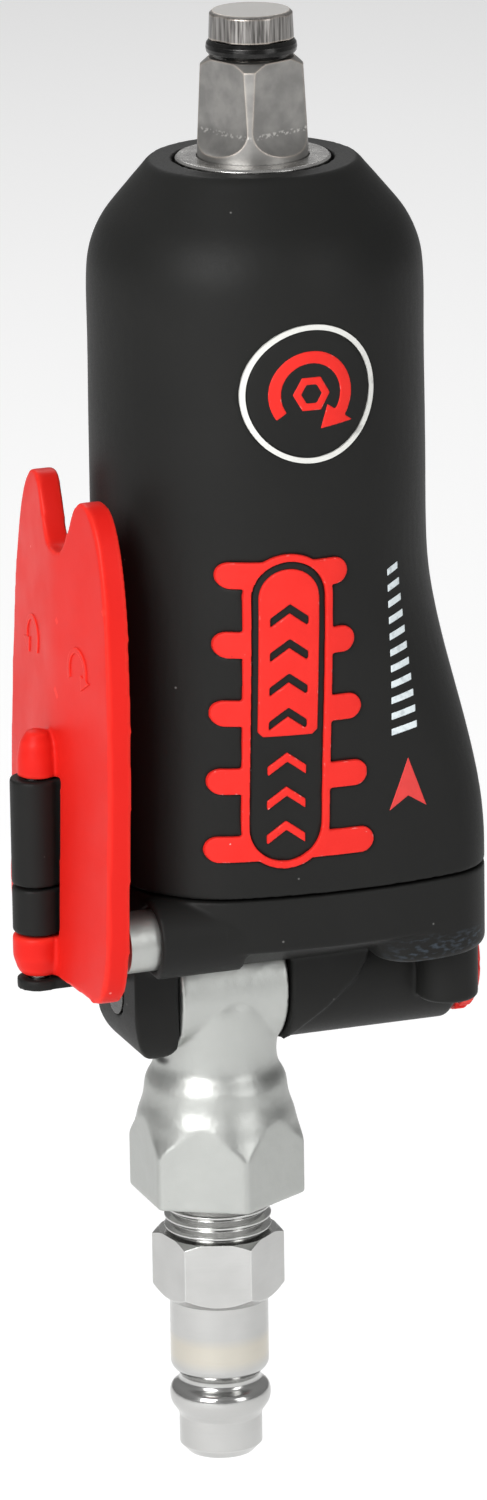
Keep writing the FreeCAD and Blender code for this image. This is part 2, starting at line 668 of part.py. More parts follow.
def end_cap():
    """Cap with the swivel's slot, the barrel, the valve bores and the lower hinge boss."""
    top_z = SEAM_Z - SEAM_GAP
    solids = [prism(top_z, top_z - CAP_FRONT_Z), underside(), bulge(), barrel(), saddle(), lug(), spigot(),
              boss_piece(top_z, BOSS_END_Z, -18.0), hinge_foot(), screw_boss(-1), screw_boss(1),
              valve_boss(-1), valve_boss(1)]
    body = fuse(solids)
    ring_r, neck_r, neck_half = BARREL_R + 0.3, BARREL_R + 1.5, 4.5
    tools = [cyl_x(ring_r, SWIVEL_X0 - 0.1, SWIVEL_X1 + 0.15, 0, BARREL_Z),
             cyl_x(neck_r, NOZZLE_X - neck_half, NOZZLE_X + neck_half, 0, BARREL_Z),
             cyl_x(SPINDLE_END_R + PRESS, LUG_X0 - 1, SWIVEL_X0, 0, BARREL_Z),
             cyl_x(SPINDLE_R + PRESS, SWIVEL_X1, SPINDLE_X1, 0, BARREL_Z),
             cyl_x(CHEST_R, SPINDLE_X1, BARREL_X1 - 3.5, 0, BARREL_Z),
             cyl_x(STEM_R + FIT, BARREL_X1 - 4, KNOB_X0, 0, BARREL_Z),
             cyl_x(KNOB_R + 0.4, BARREL_X1 + 1.3, KNOB_X1 + 2, 0, BARREL_Z),
             cyl(HINGE_PIN_R + PRESS, BOSS_END_Z - 1, SEAM_Z + 1, HINGE_X, 0),
             cyl(HINGE_PIN_R + PRESS, FOOT_Z1 + 0.4, FOOT_Z0 + 1, HINGE_X, 0),
             silencer_block(FIT, SEAM_Z + 4)]
    for side in (-1, 1):
        y = side * PLUNGER_Y
        tools += [cyl_x(PLUNGER_R + FIT, -25, -9.0, y, PLUNGER_Z),
                  cyl_x(SPRING_HOLE_R, -9.0, PLUNGER_BORE_X, y, PLUNGER_Z),
                  cyl(1.4, PLUNGER_Z, REAR_PLATE_END, PORT_X, side * PORT_Y),
                  cyl(SCREW_R + 0.1, -105, SEAM_Z + 1, SCREW_AT[0], side * SCREW_AT[1]),
                  cyl(HEAD_R, -105, SCREW_HEAD_Z, SCREW_AT[0], side * SCREW_AT[1])]
    for k in range(3):
        tools.append(cyl(1.1, -99, -89, 1.0 + 4.0 * k, EXHAUST_Y))
    return cut(body, tools)


def case_screws():
    """Two long socket-head screws that hold the end cap on."""
    screws = []
    for side in (-1, 1):
        x, y = SCREW_AT[0], side * SCREW_AT[1]
        shank = cyl(SCREW_R, SCREW_HEAD_Z, THREAD_TOP_Z - 0.5, x, y)
        head = cyl(HEAD_R - 0.1, SCREW_HEAD_Z - 2.6, SCREW_HEAD_Z, x, y)
        socket = hexagon(2.5, SCREW_HEAD_Z - 2.7, SCREW_HEAD_Z - 1.1, x, y)
        screws.append(fuse([shank, head]).cut(socket))
    return group(screws)


# --- throttle -----------------------------------------------------------------------
PADDLE_T = 2.9
PADDLE_TILT = 1.7        # degrees, the lower end stands further out
PADDLE_TOP_Z, PADDLE_END_Z = -38.2, -98.0
KNUCKLE_R = 3.05
WINDOW_HALF = 2.95
RIDGE_X = -27.5          # outer face on the centre line at the height of the plungers
PLUNGER_TIP_X = -23.3
DOME_R = 7.0             # domed end of a plunger
PAD_R, PAD_GAP = 3.0, 0.2                # pad on the paddle, and its gap to a plunger at rest


def paddle_outline():
    """Butterfly outline in the YZ plane: two wings with a notch between their tops."""
    half = [(0, -45.7), (2.5, -45.0), (4.2, -42.8), (6.2, -39.4), (7.6, PADDLE_TOP_Z), (10.5, -38.4),
            (13.0, -40.6), (15.2, -45.5), (16.6, -52.0), (17.6, -62.0), (18.1, -74.0), (18.0, -86.0),
            (17.5, -94.0), (15.8, -97.2), (12.6, PADDLE_END_Z)]
    wings = []
    for side in (1, -1):
        curve = Part.BSplineCurve()
        curve.interpolate([Vec(0, side * y, z) for y, z in half])
        wings.append(curve.toShape())
    end_y, end_z = half[-1]
    base = Part.makeLine(Vec(0, end_y, end_z), Vec(0, -end_y, end_z))
    return Part.Wire([wings[0], base, wings[1]])


def paddle_plate():
    """Plate bent slightly at its ridge, leaning out towards its lower end."""
    outline = Part.Face(paddle_outline())
    outline.translate(Vec(-40, 0, 0))
    slab = outline.extrude(Vec(30, 0, 0))
    sweep_back, reach, ridge_half = 1.25, 19.0, 2.4
    lean = math.tan(PADDLE_TILT * DEG)
    top_z, low_z = -30.0, -105.0
    x_low = RIDGE_X - (PLUNGER_Z - low_z) * lean
    bend = sweep_back / reach

    def face_at(offset):
        sides = (-reach, -ridge_half, ridge_half, reach)
        return [Vec(x_low + offset + bend * abs(y), y, low_z) for y in sides]

    outer, inner = face_at(0.0), face_at(PADDLE_T)
    crown = bend * ridge_half / 2
    ridge = Part.Arc(outer[1], Vec(x_low + crown, 0, low_z), outer[2]).toShape()
    wire = Part.Wire([Part.makeLine(outer[0], outer[1]), ridge, Part.makeLine(outer[2], outer[3]),
                      Part.makeLine(outer[3], inner[3]), Part.makeLine(inner[3], inner[2]),
                      Part.makeLine(inner[2], inner[1]), Part.makeLine(inner[1], inner[0]),
                      Part.makeLine(inner[0], outer[0])])
    sheet = Part.Face(wire).extrude(Vec((top_z - low_z) * lean, 0, top_z - low_z))
    return slab.common(sheet)


def throttle_paddle():
    """Rocking paddle with its hinge knuckles above and below the window."""
    plate = paddle_plate()
    upper = turned([(0, -67.4), (1.3, -67.7), (2.1, -69.0), (2.45, -71.0), (2.5, BOSS_TOP_Z + 0.2),
                    (0, BOSS_TOP_Z + 0.2)], HINGE_X + 0.4, 0)
    lower = turned([(0, BOSS_END_Z - 0.25), (KNUCKLE_R, BOSS_END_Z - 0.25), (KNUCKLE_R, -95.6), (2.5, -97.3),
                    (1.9, PADDLE_END_Z), (0, PADDLE_END_Z)], HINGE_X, 0)
    body = fuse([plate, upper, lower])
    window = box(-40, -20, -WINDOW_HALF, WINDOW_HALF, BOSS_END_Z - 0.25, BOSS_TOP_Z + 0.2)
    relief = cyl(BOSS_R + 0.3, BOSS_END_Z - 0.25, BOSS_TOP_Z + 0.2, HINGE_X, 0)
    pin_hole = cyl(HINGE_PIN_R + FIT, -70.4, PADDLE_END_Z - 1, HINGE_X, 0)
    pad_root = PLUNGER_TIP_X - 3.0
    pads = [cyl_x(PAD_R, pad_root, PLUNGER_TIP_X - PAD_GAP, side * PLUNGER_Y, PLUNGER_Z) for side in (-1, 1)]
    return cut(fuse([body] + pads), [window, relief, pin_hole])


def paddle_pin():
    return cyl(HINGE_PIN_R, -70.6, FOOT_Z1 + 0.4, HINGE_X, 0)


def plunger(side):
    """Valve plunger: domed head, sealing land and a nose inside its spring."""
    y = side * PLUNGER_Y
    body = turned_x([(PLUNGER_TIP_X, 0), (PLUNGER_TIP_X, PLUNGER_R), (-14.2, PLUNGER_R), (-14.2, 2.75),
                     (-12.6, 2.75), (-12.6, PLUNGER_R), (-11.6, PLUNGER_R), (-11.6, 1.6), (-9.6, 1.6),
                     (-9.6, 0)], y, PLUNGER_Z)
    dome = Part.makeSphere(DOME_R, Vec(PLUNGER_TIP_X + DOME_R, y, PLUNGER_Z))
    tail = box(PLUNGER_TIP_X + 2, 0, y - 5, y + 5, PLUNGER_Z - 5, PLUNGER_Z + 5)
    return body.common(dome.fuse(tail))


def plunger_o_ring(side):
    return torus_x(3.24, 0.46, -13.4, side * PLUNGER_Y, PLUNGER_Z)


def valve_spring(side):
    """Compression spring between the plunger's nose and the end of its bore."""
    wire_r, coil_r, x0, x1, turns = 0.3, 2.2, -11.2, PLUNGER_BORE_X - 0.4, 6
    helix = Part.makeHelix((x1 - x0) / turns, x1 - x0, coil_r)
    start = Part.Wire(Part.makeCircle(wire_r, Vec(coil_r, 0, 0), Y_AXIS))
    coil = Part.Wire(helix).makePipeShell([start], True, True)
    coil.rotate(ORIGIN, Y_AXIS, 90)
    coil.translate(Vec(x0, side * PLUNGER_Y, PLUNGER_Z))
    return coil


# --- swivel inlet -------------------------------------------------------------------
SWIVEL_HEX = 19.0
GALLERY_R = 6.3
THREAD_R = 6.55
SWING_CLEAR_R = 9.3      # the neck stays this far from the spindle's axis beside its ring
SPINDLE_SEALS = (NOZZLE_X - 4.6, NOZZLE_X + 4.6)


def swivel_neck():
    """Flared neck with soft waves, turned, then given its hexagon."""
    waist = [(7.5, BARREL_Z), (7.5, -110.6), (7.75, -112.2), (8.5, -113.6), (8.75, -115.0), (9.0, -116.4),
             (9.55, -118.0), (9.95, -119.6), (10.75, -121.4), (10.97, -122.2)]
    points = [Vec(r, 0, z) for r, z in waist]
    spline = Part.BSplineCurve()
    spline.interpolate(points)
    low = Vec(10.97, 0, HEX_END_Z)
    corners = [points[-1], low, Vec(0, 0, HEX_END_Z), Vec(0, 0, BARREL_Z), points[0]]
    sides = [Part.makeLine(a, b) for a, b in zip(corners, corners[1:])]
    outline = Part.Wire([spline.toShape()] + sides)
    neck = Part.Face(outline).revolve(ORIGIN, Z_AXIS, 360)
    block = hexagon(SWIVEL_HEX, HEX_END_Z, BARREL_Z)
    upright = [e for e in block.Edges if abs(e.Vertexes[0].Z - e.Vertexes[-1].Z) > 1]
    block = block.makeFillet(0.9, upright)
    return moved(neck.common(block), NOZZLE_X)


def swivel_inlet():
    """Air inlet that swings on the spindle: ring, neck and hexagon in one."""
    ring = cyl_x(BARREL_R, SWIVEL_X0 + 0.1, SWIVEL_X1 - 0.1, 0, BARREL_Z)
    body = fuse([ring, swivel_neck()])
    tools = [cyl_x(SPINDLE_R + FIT, -30, 10, 0, BARREL_Z),
             cyl_x(GALLERY_R, NOZZLE_X - 2.6, NOZZLE_X + 2.6, 0, BARREL_Z),
             cyl(4.2, BARREL_Z - 5, -122, NOZZLE_X, 0),
             cyl(THREAD_R + FIT, -120.4, HEX_END_Z - 1, NOZZLE_X, 0),
             cyl_x(SWING_CLEAR_R, SWIVEL_X0 - 3, SWIVEL_X0 + 0.1, 0, BARREL_Z),
             cyl_x(SWING_CLEAR_R, SWIVEL_X1 - 0.1, SWIVEL_X1 + 3, 0, BARREL_Z)]
    return cut(body, tools)


def swivel_spindle():
    """Hollow pin that feeds air from the swivel into the barrel."""
    pin = fuse([cyl_x(SPINDLE_R, SWIVEL_X0 + 0.1, SPINDLE_X1, 0, BARREL_Z),
                cyl_x(SPINDLE_END_R, LUG_X0 - 0.1, SWIVEL_X0 + 0.1, 0, BARREL_Z)])
    tools = [cyl_x(3.0, NOZZLE_X - 2.2, SPINDLE_X1 + 1, 0, BARREL_Z)]
    for k in range(4):
        drill = Part.makeCylinder(1.3, 7, Vec(NOZZLE_X, 0, BARREL_Z), Z_AXIS)
        tools.append(spun(drill, 90 * k, X_AXIS, Vec(NOZZLE_X, 0, BARREL_Z)))
    for x in SPINDLE_SEALS:
        groove = [(x - 0.8, 3.75), (x - 0.8, 5.5), (x + 0.8, 5.5), (x + 0.8, 3.75)]
        tools.append(turned_x(groove, 0, BARREL_Z))
    return cut(pin, tools)


def spindle_o_rings():
    return group([torus_x(4.4, 0.58, x, 0, BARREL_Z) for x in SPINDLE_SEALS])


def inlet_screen():
    """Perforated disc that keeps grit out of the swivel."""
    disc = cyl(6.2, -120.5, -121.0, NOZZLE_X, 0)
    holes = [cyl(0.55, -122, -120, NOZZLE_X, 0)]
    for ring, count in ((1.6, 6), (3.2, 12)):
        for k in range(count):
            angle = 2 * math.pi * k / count
            holes.append(cyl(0.55, -122, -120, NOZZLE_X + ring * math.cos(angle), ring * math.sin(angle)))
    return cut(disc, holes)


NIPPLE_HEX = 14.0
NIPPLE_BORE_R = 3.6
SHANK_R = 6.05
PLUG_TIP_R = 5.1
PLUG_TIP_TOP_Z, PLUG_TIP_LOW_Z = -157.3, -161.0
HEX_TOP_Z, HEX_LOW_Z = -133.4, -142.0


def nipple_thread():
    """Ridged neck for the 1/4 inch pipe thread, 1.337 mm pitch."""
    pitch, depth = 1.337, 0.75
    ridges = 9
    outline = [(NIPPLE_BORE_R, -121.2), (THREAD_R - depth, -121.2)]
    top = -121.4
    for k in range(ridges):
        z = top - k * pitch
        outline += [(THREAD_R - depth, z), (THREAD_R, z - 0.45 * pitch), (THREAD_R, z - 0.6 * pitch)]
    root_r = THREAD_R - depth
    outline += [(root_r, HEX_TOP_Z + 0.1), (root_r, HEX_TOP_Z), (NIPPLE_BORE_R, HEX_TOP_Z)]
    return turned(outline, NOZZLE_X, 0)


def nipple_plug():
    """Quick-coupler plug: shank, locking groove, bead and tip."""
    neck = [Vec(SHANK_R, 0, -150.4), Vec(5.75, 0, -151.1), Vec(4.9, 0, -152.2), Vec(5.0, 0, -152.9),
            Vec(5.9, 0, -153.6), Vec(6.2, 0, -154.6), Vec(6.05, 0, -155.6), Vec(5.45, 0, -156.6),
            Vec(PLUG_TIP_R, 0, PLUG_TIP_TOP_Z)]
    spline = Part.BSplineCurve()
    spline.interpolate(neck)
    tip = [Vec(PLUG_TIP_R, 0, PLUG_TIP_LOW_Z), Vec(4.2, 0, NIPPLE_END_Z), Vec(NIPPLE_BORE_R, 0, NIPPLE_END_Z)]
    top = [Vec(NIPPLE_BORE_R, 0, HEX_LOW_Z + 0.5), Vec(SHANK_R, 0, HEX_LOW_Z + 0.5)]
    edges = [spline.toShape()]
    corners = [neck[-1]] + tip + top + [neck[0]]
    edges += [Part.makeLine(a, b) for a, b in zip(corners, corners[1:])]
    return moved(Part.Face(Part.Wire(edges)).revolve(ORIGIN, Z_AXIS, 360), NOZZLE_X)


def air_nipple():
    """Plug nipple for a compressed-air coupler, with its 14 mm hexagon."""
    block = hexagon(NIPPLE_HEX, HEX_LOW_Z, HEX_TOP_Z, NOZZLE_X, 0, 10)
    cone = turned([(0, HEX_TOP_Z), (7.2, HEX_TOP_Z), (8.1, -134.1), (8.1, -140.5), (6.35, HEX_LOW_Z),
                   (0, HEX_LOW_Z)], NOZZLE_X, 0)
    block = block.common(cone).cut(cyl(NIPPLE_BORE_R, HEX_TOP_Z + 1, HEX_LOW_Z - 1, NOZZLE_X, 0))
    return fuse([nipple_thread(), block, nipple_plug()])


# --- power regulator ----------------------------------------------------------------
def regulator_knob():
    """Red knob on the barrel's end, with finger notches and a throttling stem."""
    knob = turned_x([(KNOB_X0, 0), (KNOB_X0, KNOB_R), (KNOB_X1 - 0.5, KNOB_R), (KNOB_X1, KNOB_R - 0.5),
                     (KNOB_X1, 0)], 0, BARREL_Z)
    notches = 12
    scoop = cyl_x(0.75, KNOB_X0 - 1, KNOB_X1 + 1, 0, BARREL_Z + KNOB_R + 0.15)
    tools = [spun(scoop, 360 / notches * k, X_AXIS, Vec(0, 0, BARREL_Z)) for k in range(notches)]
    tools.append(box(KNOB_X1 - 0.7, KNOB_X1 + 1, -4.2, 4.2, BARREL_Z - 0.6, BARREL_Z + 0.6))
    stem = cyl_x(STEM_R, BARREL_X1 - 9, KNOB_X0, 0, BARREL_Z)
    gate = cyl_x(CHEST_R - 0.3, BARREL_X1 - 11, BARREL_X1 - 9, 0, BARREL_Z)
    gate = gate.cut(cyl_x(0.8, 0, BARREL_X1, 3.5, BARREL_Z))
    body = fuse([cut(knob, tools), stem, gate])
    return body.cut(turned_x([(18.8, 2.0), (18.8, 3), (20.2, 3), (20.2, 2.0)], 0, BARREL_Z))


def regulator_o_ring():
    return torus_x(2.33, 0.3, 19.5, 0, BARREL_Z)


def silencer():
    """Sintered block above the exhaust holes in the cap's rear."""
    return silencer_block(0.0, SILENCER_Z1)


# --- build --------------------------------------------------------------------------
def inlay(slab, grown, inner):
    """The part of a front-to-back slab that lies in the housing's skin."""
    return slab.common(grown).cut(inner)


def main():
    os.makedirs("parts", exist_ok=True)
    low = SEAM_Z + SEAM_GAP
    outer = grip_solid(low)
    grown = grip_solid(low, INLAY_H)
    inner = grip_solid(low, -INLAY_D)
    capsule = capsule_slab()
    ribs = inlay(rib_outline().cut(capsule), grown, inner)
    badge = inlay(badge_slab(), grip_solid(low, 0.12), inner)
    save("motor_housing", motor_housing(outer, [ribs, badge]))
    save("rib_inlay", ribs)
    save("badge_ring", badge)
    save("end_cap", end_cap())
    save("case_screws", case_screws())
    save("hammer_case", hammer_case())
    save("anvil_bushing", anvil_bushing())
    save("anvil", anvil())
    save("friction_ring", friction_ring())
    save("friction_o_ring", friction_o_ring())
    save("hammer_cage", hammer_cage())
    save("hammer_pins", hammer_pins())
    save("front_hammer", hammer(-24.9, -16.4, 1))
    save("rear_hammer", hammer(-33.7, -25.2, -1))
    save("front_plate", front_plate())
    save("cylinder", cylinder())
    save("rear_plate", rear_plate())
    save("cylinder_dowel", cylinder_dowel())
    save("rotor", rotor())
    save("rotor_vanes", rotor_vanes())
    for place, top in (("front", CASE_END - 0.1), ("rear", REAR_PLATE_END + 0.1 + BEARING_W)):
        save(place + "_bearing_inner", bearing_inner(top))
        save(place + "_bearing_outer", bearing_outer(top))
        save(place + "_bearing_balls", bearing_balls(top))
        save(place + "_bearing_retainer", bearing_retainer(top))
    save("motor_gasket", motor_gasket())
    save("throttle_paddle", throttle_paddle())
    save("paddle_pin", paddle_pin())
    for name, side in (("forward", -1), ("reverse", 1)):
        save(name + "_plunger", plunger(side))
        save(name + "_plunger_o_ring", plunger_o_ring(side))
        save(name + "_valve_spring", valve_spring(side))
    save("swivel_inlet", swivel_inlet())
    save("swivel_spindle", swivel_spindle())
    save("spindle_o_rings", spindle_o_rings())
    save("inlet_screen", inlet_screen())
    save("air_nipple", air_nipple())
    save("regulator_knob", regulator_knob())
    save("regulator_o_ring", regulator_o_ring())
    save("silencer", silencer())


main()
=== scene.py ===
import json
import math

import bmesh
import bpy
from mathutils import Matrix, Vector
from mathutils.bvhtree import BVHTree

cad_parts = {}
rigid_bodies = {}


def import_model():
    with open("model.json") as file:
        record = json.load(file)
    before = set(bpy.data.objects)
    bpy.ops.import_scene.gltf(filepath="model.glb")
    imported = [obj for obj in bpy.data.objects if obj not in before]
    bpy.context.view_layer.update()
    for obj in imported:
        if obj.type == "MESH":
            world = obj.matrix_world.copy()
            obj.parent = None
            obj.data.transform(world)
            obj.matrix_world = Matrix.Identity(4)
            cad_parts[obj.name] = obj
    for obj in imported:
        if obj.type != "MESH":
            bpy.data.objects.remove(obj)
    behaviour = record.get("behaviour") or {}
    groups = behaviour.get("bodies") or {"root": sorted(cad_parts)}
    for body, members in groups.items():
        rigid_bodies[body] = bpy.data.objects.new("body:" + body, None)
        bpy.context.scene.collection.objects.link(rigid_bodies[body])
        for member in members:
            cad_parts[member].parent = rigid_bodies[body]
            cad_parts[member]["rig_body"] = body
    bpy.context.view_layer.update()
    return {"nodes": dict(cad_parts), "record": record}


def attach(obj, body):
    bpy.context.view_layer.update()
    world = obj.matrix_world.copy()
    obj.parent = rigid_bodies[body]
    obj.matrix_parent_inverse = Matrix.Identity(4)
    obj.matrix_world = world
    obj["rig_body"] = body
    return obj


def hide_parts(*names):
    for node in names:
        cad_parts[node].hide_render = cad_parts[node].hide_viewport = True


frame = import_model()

MM = 0.001
SLOT_OF = {part["node"]: part["material_slot"] for part in frame["record"]["subparts"]}

# linear colours
BLACK_PLASTIC = (0.0085, 0.0087, 0.0083)
RED = (0.55, 0.010, 0.007)
RED_RUBBER = (0.60, 0.013, 0.009)
PRINT_WHITE = (0.62, 0.68, 0.70)
SCUFF_BLUE = (0.085, 0.115, 0.150)


# --- shader nodes -------------------------------------------------------------------
class Shader:
    """A material with one Principled surface; a value may be a number, a colour or a node's socket."""

    def __init__(self, name):
        self.material = bpy.data.materials.new(name)
        self.material.use_nodes = True
        self.tree = self.material.node_tree
        self.surface = self.tree.nodes["Principled BSDF"]
        self.place = self.add("ShaderNodeTexCoord").outputs["Object"]

    def add(self, kind, inputs=None, **settings):
        node = self.tree.nodes.new(kind)
        for key, value in settings.items():
            setattr(node, key, value)
        for key, value in (inputs or {}).items():
            self.plug(node.inputs[key], value)
        return node

    def plug(self, socket, value):
        """Links a socket, or sets a plain value; a colour may leave out its alpha."""
        if isinstance(value, bpy.types.NodeSocket):
            self.tree.links.new(value, socket)
        elif socket.type == "RGBA" and len(value) == 3:
            socket.default_value = (*value, 1.0)
        else:
            socket.default_value = value

    def finish(self, **values):
        """Sets the surface's inputs, an underscore standing for a space, and gives the material."""
        for key, value in values.items():
            self.plug(self.surface.inputs[key.replace("_", " ")], value)
        return self.material

    def stretched(self, scale):
        """Object coordinates multiplied by a factor along each axis."""
        return self.add("ShaderNodeMapping", {"Vector": self.place, "Scale": scale}).outputs["Vector"]

    def noise(self, scale, detail=2.0, place=None):
        inputs = {"Vector": place or self.place, "Scale": scale, "Detail": detail}
        return self.add("ShaderNodeTexNoise", inputs).outputs["Fac"]

    def between(self, value, low, high, start=0.0, end=1.0):
        """Maps low to high onto start to end, held at both ends."""
        inputs = {"Value": value, "From Min": low, "From Max": high, "To Min": start, "To Max": end}
        return self.add("ShaderNodeMapRange", inputs).outputs["Result"]

    def spread(self, noise, start, end):
        """Maps a noise value, which mostly stays between 0.3 and 0.7, onto start to end."""
        return self.between(noise, 0.3, 0.7, start, end)

    def calc(self, operation, first, second=0.0):
        return self.add("ShaderNodeMath", {0: first, 1: second}, operation=operation).outputs[0]

    def times(self, first, second):
        return self.calc("MULTIPLY", first, second)

    def mix(self, first, second, share):
        """Colour between two others: the first at share 0, the second at share 1."""
        node = self.add("ShaderNodeMix", data_type="RGBA")
        self.plug(node.inputs[0], share)
        self.plug(node.inputs[6], first)
        self.plug(node.inputs[7], second)
        return node.outputs[2]

    def bump(self, height, distance, normal=None):
        inputs = {"Height": height, "Distance": distance, "Strength": 1.0}
        if normal:
            inputs["Normal"] = normal
        return self.add("ShaderNodeBump", inputs).outputs["Normal"]

    def specks(self, scale, share, size):
        """Sparse round dots: 1 inside a dot, in the given share of the cells."""
        cells = self.add("ShaderNodeTexVoronoi", {"Vector": self.place, "Scale": scale})
        red = self.add("ShaderNodeSeparateColor", {0: cells.outputs["Color"]}).outputs[0]
        chosen = self.calc("LESS_THAN", red, share)
        return self.times(chosen, self.between(cells.outputs["Distance"], size, size * 0.5))

    def edges(self, radius):
        """1 on the object's sharp edges, 0 on its faces."""
        eased = self.rounded(radius)
        plain = self.add("ShaderNodeNewGeometry").outputs["Normal"]
        dot = self.add("ShaderNodeVectorMath", {0: eased, 1: plain}, operation="DOT_PRODUCT")
        return self.between(dot.outputs["Value"], 0.995, 0.90)

    def rounded(self, radius):
        """Surface normal with the sharp edges rounded off."""
        return self.add("ShaderNodeBevel", {"Radius": radius}, samples=6).outputs["Normal"]

    def raised_edges(self, low, high):
        """Edge mask from the curvature of a finely meshed piece."""
        return self.between(self.add("ShaderNodeNewGeometry").outputs["Pointiness"], low, high)

    def height(self):
        return self.add("ShaderNodeSeparateXYZ", {0: self.place}).outputs["Z"]

    def along_x(self):
        return self.add("ShaderNodeSeparateXYZ", {0: self.place}).outputs["X"]

    def band(self, middle, half):
        """1 at a height, fading to 0 at a distance from it."""
        away = self.calc("ABSOLUTE", self.calc("SUBTRACT", self.height(), middle))
        return self.between(away, half, half * 0.4)


# --- materials ----------------------------------------------------------------------
def black_composite():
    s = Shader("black_composite")
    grain = s.noise(5200, 3)
    cloud = s.noise(70, 4)
    dust = s.specks(520, 0.03, 0.09)
    scuffs = s.between(s.noise(1, 5, s.stretched((900, 900, 60))), 0.68, 0.80)
    scuffs = s.times(scuffs, s.between(s.noise(90, 2), 0.52, 0.70))
    colour = s.mix(BLACK_PLASTIC, (0.0125, 0.0125, 0.0118), cloud)
    colour = s.mix(colour, (0.05, 0.05, 0.048), s.times(scuffs, 0.22))
    # bluish rub marks low on the grip, on the right
    rubbed = s.times(s.band(-95.6 * MM, 2.2 * MM), s.between(s.along_x(), 9 * MM, 13 * MM))
    rubbed = s.times(rubbed, s.between(s.noise(1, 6, s.stretched((900, 900, 2600))), 0.50, 0.72))
    colour = s.mix(colour, SCUFF_BLUE, s.times(rubbed, 0.4))
    colour = s.mix(colour, (0.26, 0.26, 0.25), s.times(dust, 0.4))
    rough = s.spread(grain, 0.46, 0.56)
    return s.finish(Base_Color=colour, Roughness=rough, Specular_IOR_Level=0.13,
                    Normal=s.bump(grain, 0.010 * MM))


def red_plastic():
    s = Shader("red_plastic")
    grain = s.noise(4200, 2)
    cloud = s.noise(55, 3)
    # painted highlight: the convex edges are made a brighter red
    rim = s.raised_edges(0.505, 0.56)
    colour = s.mix(RED, (0.62, 0.015, 0.010), cloud)
    colour = s.mix(colour, (0.74, 0.032, 0.020), rim)
    dust = s.specks(430, 0.03, 0.09)
    colour = s.mix(colour, (0.86, 0.50, 0.45), s.times(dust, 0.3))
    rough = s.spread(s.noise(160, 4), 0.34, 0.46)
    return s.finish(Base_Color=colour, Roughness=rough, Specular_IOR_Level=0.10,
                    Normal=s.bump(grain, 0.006 * MM))


def red_rubber():
    s = Shader("red_rubber")
    grain = s.noise(3600, 4)
    pores = s.specks(900, 0.10, 0.16)
    rim = s.raised_edges(0.52, 0.60)
    fleck = s.times(rim, s.between(s.noise(1500, 3), 0.60, 0.72))
    # painted shade: hollows and grooves are made a darker red
    painted_groove_shade = s.raised_edges(0.49, 0.44)
    colour = s.mix(RED_RUBBER, (0.68, 0.022, 0.015), s.noise(240, 3))
    colour = s.mix(colour, (0.30, 0.010, 0.008), s.times(painted_groove_shade, 0.7))
    colour = s.mix(colour, (0.35, 0.012, 0.010), s.times(pores, 0.5))
    colour = s.mix(colour, (0.85, 0.72, 0.68), s.times(fleck, 0.8))
    rough = s.spread(grain, 0.50, 0.66)
    return s.finish(Base_Color=colour, Roughness=rough, Specular_IOR_Level=0.2,
                    Normal=s.bump(grain, 0.014 * MM))


def silver_print():
    s = Shader("silver_print")
    grain = s.noise(2600, 4)
    worn = s.between(s.noise(420, 4), 0.60, 0.74)
    colour = s.mix((0.66, 0.66, 0.63), (0.20, 0.20, 0.19), s.times(worn, 0.7))
    return s.finish(Base_Color=colour, Metallic=0.35, Roughness=s.spread(grain, 0.34, 0.55),
                    Normal=s.bump(grain, 0.02 * MM))


def printed_white():
    s = Shader("printed_white")
    grain = s.noise(3400, 3)
    colour = s.mix(PRINT_WHITE, (0.46, 0.51, 0.53), s.between(s.noise(1300, 3), 0.52, 0.68))
    return s.finish(Base_Color=colour, Roughness=s.spread(grain, 0.45, 0.62),
                    Normal=s.bump(grain, 0.006 * MM))


def printed_red():
    s = Shader("printed_red")
    grain = s.noise(3400, 3)
    colour = s.mix((0.52, 0.020, 0.018), (0.66, 0.030, 0.024), s.noise(600, 3))
    return s.finish(Base_Color=colour, Roughness=s.spread(grain, 0.45, 0.60),
                    Normal=s.bump(grain, 0.006 * MM))


def steel(name, colour, dark, rough, streak, edge_colour=None, edge_radius=0.25 * MM):
    """Machined steel with streaks and a cloudy tone; an edge colour adds edges rubbed bright."""
    s = Shader(name)
    streaks = s.noise(1, 3, s.stretched(streak))
    cloud = s.noise(380, 4)
    grain = s.noise(6500, 2)
    tone = s.mix(dark, colour, s.between(cloud, 0.35, 0.62))
    tone = s.mix(tone, dark, s.times(s.between(streaks, 0.52, 0.75), 0.45))
    if edge_colour:
        tone = s.mix(tone, edge_colour, s.times(s.edges(edge_radius), 0.85))
    roughness = s.spread(streaks, rough * 0.8, rough * 1.25)
    height = s.calc("ADD", streaks, s.times(grain, 0.5))
    return s.finish(Base_Color=tone, Metallic=1.0, Roughness=roughness,
                    Normal=s.bump(height, 0.006 * MM, s.rounded(0.12 * MM)))


def ground_steel():
    return steel("ground_steel", (0.60, 0.59, 0.57), (0.42, 0.41, 0.40), 0.24, (900, 900, 5200))


def alloy_steel():
    return steel("alloy_steel", (0.86, 0.86, 0.84), (0.62, 0.62, 0.60), 0.34, (5200, 5200, 420),
                 (0.92, 0.91, 0.89))


def cast_steel():
    return steel("cast_steel", (0.36, 0.36, 0.37), (0.22, 0.22, 0.23), 0.46, (2600, 2600, 2600),
                 (0.55, 0.54, 0.53))


def spring_steel():
    return steel("spring_steel", (0.50, 0.50, 0.51), (0.30, 0.30, 0.31), 0.30, (5200, 5200, 5200))


def black_steel():
    return steel("black_steel", (0.045, 0.044, 0.043), (0.018, 0.018, 0.018), 0.26, (700, 700, 6000),
                 (0.20, 0.19, 0.18), 0.10 * MM)


def bronze():
    return steel("bronze", (0.62, 0.42, 0.20), (0.40, 0.26, 0.12), 0.36, (900, 900, 4800), (0.78, 0.58, 0.32))


